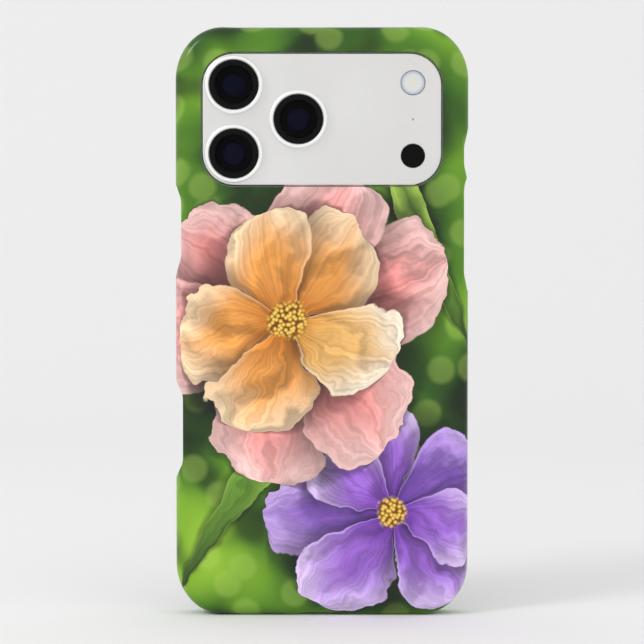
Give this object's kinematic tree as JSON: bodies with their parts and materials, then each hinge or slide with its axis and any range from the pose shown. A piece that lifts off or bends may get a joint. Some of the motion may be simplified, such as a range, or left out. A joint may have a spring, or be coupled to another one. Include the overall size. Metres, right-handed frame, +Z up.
{
  "type": "smartphone in printed case",
  "caption": "Smartphone standing upright in a thin glossy clip-on case with a floral print, camera window and finger notches.",
  "frame": {"origin": "under the middle of the lower edge, at the centre of the object's footprint", "axes": "+Z up the phone, +X to the right when looking at the printed back, -Y the printed back with the cameras, +Y the screen"},
  "size_m": [0.083, 0.0134, 0.167],
  "materials": {
    "printed_polycarbonate": "printed, clear gloss coat",
    "anodised_aluminium": "bead blasted and anodised",
    "polished_ring": "turned and polished",
    "cover_glass": "polished, black from behind",
    "front_glass": "polished",
    "rear_glass": "matte, silver from behind",
    "frosted_lens": "moulded, slightly frosted",
    "display": "smooth",
    "gasket_rubber": "matte",
    "black_plastic": "moulded",
    "steel": "stamped",
    "board_laminate": "solder mask",
    "copper": "bare copper",
    "cell_pouch": "laminated pouch, black",
    "flex": "polyimide"
  },
  "bodies": {
    "phone": {"battery": "cell_pouch", "battery_tab": "flex", "board_screw_1": "steel", "board_screw_2": "steel", "board_screw_3": "steel", "board_screw_4": "steel", "board_shield": "steel", "bracket_screw_1": "steel", "bracket_screw_2": "steel", "bracket_screw_3": "steel", "camera_bracket": "steel", "charging_coil": "copper", "display_flex": "flex", "display_gasket": "gasket_rubber", "display_panel": "display", "earpiece_grille": "black_plastic", "earpiece_speaker": "black_plastic", "flash_board": "board_laminate", "flash_lens": "frosted_lens", "foot_screw_1": "steel", "foot_screw_2": "steel", "frame": "anodised_aluminium", "front_camera": "black_plastic", "front_glass": "front_glass", "haptic_motor": "steel", "heat_spreader": "copper", "lidar_module": "steel", "lidar_window": "cover_glass", "logic_board": "board_laminate", "loudspeaker": "black_plastic", "magnet_ring": "steel", "port_flex": "flex", "port_shell": "steel", "port_tongue": "black_plastic", "printed_case": "printed_polycarbonate", "processor": "black_plastic", "rear_glass": "rear_glass", "rear_microphone": "steel", "side_switches": "flex", "tele_barrel": "black_plastic", "tele_cover_glass": "cover_glass", "tele_housing": "steel", "tele_ring": "polished_ring", "ultrawide_barrel": "black_plastic", "ultrawide_cover_glass": "cover_glass", "ultrawide_housing": "steel", "ultrawide_ring": "polished_ring", "volume_switches": "flex", "wide_barrel": "black_plastic", "wide_cover_glass": "cover_glass", "wide_housing": "steel", "wide_ring": "polished_ring"},
    "action_button": {"action_button": "anodised_aluminium"},
    "volume_up_button": {"volume_up_button": "anodised_aluminium"},
    "volume_down_button": {"volume_down_button": "anodised_aluminium"},
    "side_button": {"side_button": "anodised_aluminium"},
    "camera_control": {"camera_control": "anodised_aluminium"}
  },
  "joints": [
    {"name": "action_button_press", "type": "slide", "parent": "phone", "child": "action_button", "axis": [-1, 0, 0], "range_m": [0, 0.0003], "stiffness_N_per_m": 4000},
    {"name": "volume_up_button_press", "type": "slide", "parent": "phone", "child": "volume_up_button", "axis": [-1, 0, 0], "range_m": [0, 0.0003], "stiffness_N_per_m": 4000},
    {"name": "volume_down_button_press", "type": "slide", "parent": "phone", "child": "volume_down_button", "axis": [-1, 0, 0], "range_m": [0, 0.0003], "stiffness_N_per_m": 4000},
    {"name": "side_button_press", "type": "slide", "parent": "phone", "child": "side_button", "axis": [1, 0, 0], "range_m": [0, 0.0003], "stiffness_N_per_m": 4000},
    {"name": "camera_control_press", "type": "slide", "parent": "phone", "child": "camera_control", "axis": [1, 0, 0], "range_m": [0, 0.0002], "stiffness_N_per_m": 4000}
  ]
}
